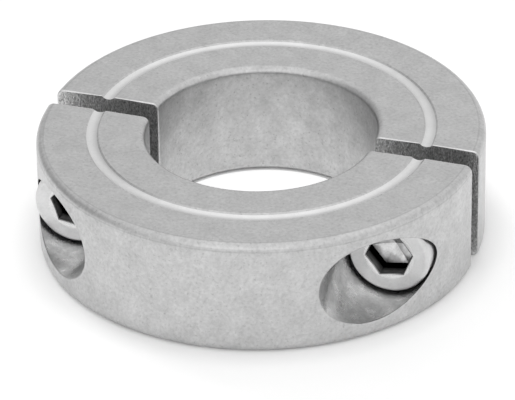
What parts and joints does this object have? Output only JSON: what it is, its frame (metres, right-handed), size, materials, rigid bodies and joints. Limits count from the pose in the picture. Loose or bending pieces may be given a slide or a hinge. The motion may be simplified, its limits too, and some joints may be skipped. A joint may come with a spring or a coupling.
{
  "type": "split shaft collar",
  "caption": "Two-piece clamp collar that grips a round shaft: a turned steel ring sawn in half, drawn together by socket head screws.",
  "frame": {"origin": "on the rear half's bore axis, at half the collar's width", "axes": "+Z along the shaft, towards the grooved face; X along the split; -Y towards the screw heads"},
  "size_m": [0.045, 0.0465, 0.0122],
  "materials": {
    "ring_steel": "tumbled satin stainless steel, sawn faces darker",
    "screw_steel": "bright cold-formed stainless steel"
  },
  "bodies": {
    "rear_half": {"rear_half": "ring_steel"},
    "front_half": {"front_half": "ring_steel"},
    "right_screw": {"right_screw": "screw_steel"},
    "left_screw": {"left_screw": "screw_steel"}
  },
  "joints": [
    {"name": "clamp_slide", "type": "slide", "parent": "rear_half", "child": "front_half", "axis": [0, -1, 0], "range_m": [-0.0027, 0.006]},
    {"name": "right_screw_turn", "type": "hinge", "parent": "front_half", "child": "right_screw", "pos_m": [0.01655, -0.00643, 0], "axis": [0, -1, 0], "range_deg": [-1220, 2705]},
    {"name": "left_screw_turn", "type": "hinge", "parent": "front_half", "child": "left_screw", "pos_m": [-0.01655, -0.00643, 0], "axis": [0, -1, 0], "range_deg": [-1220, 2705]}
  ],
  "couplings": [
    {"joint": "right_screw_turn", "follows": "clamp_slide", "rad_per_m": 7854},
    {"joint": "left_screw_turn", "follows": "clamp_slide", "rad_per_m": 7854}
  ]
}
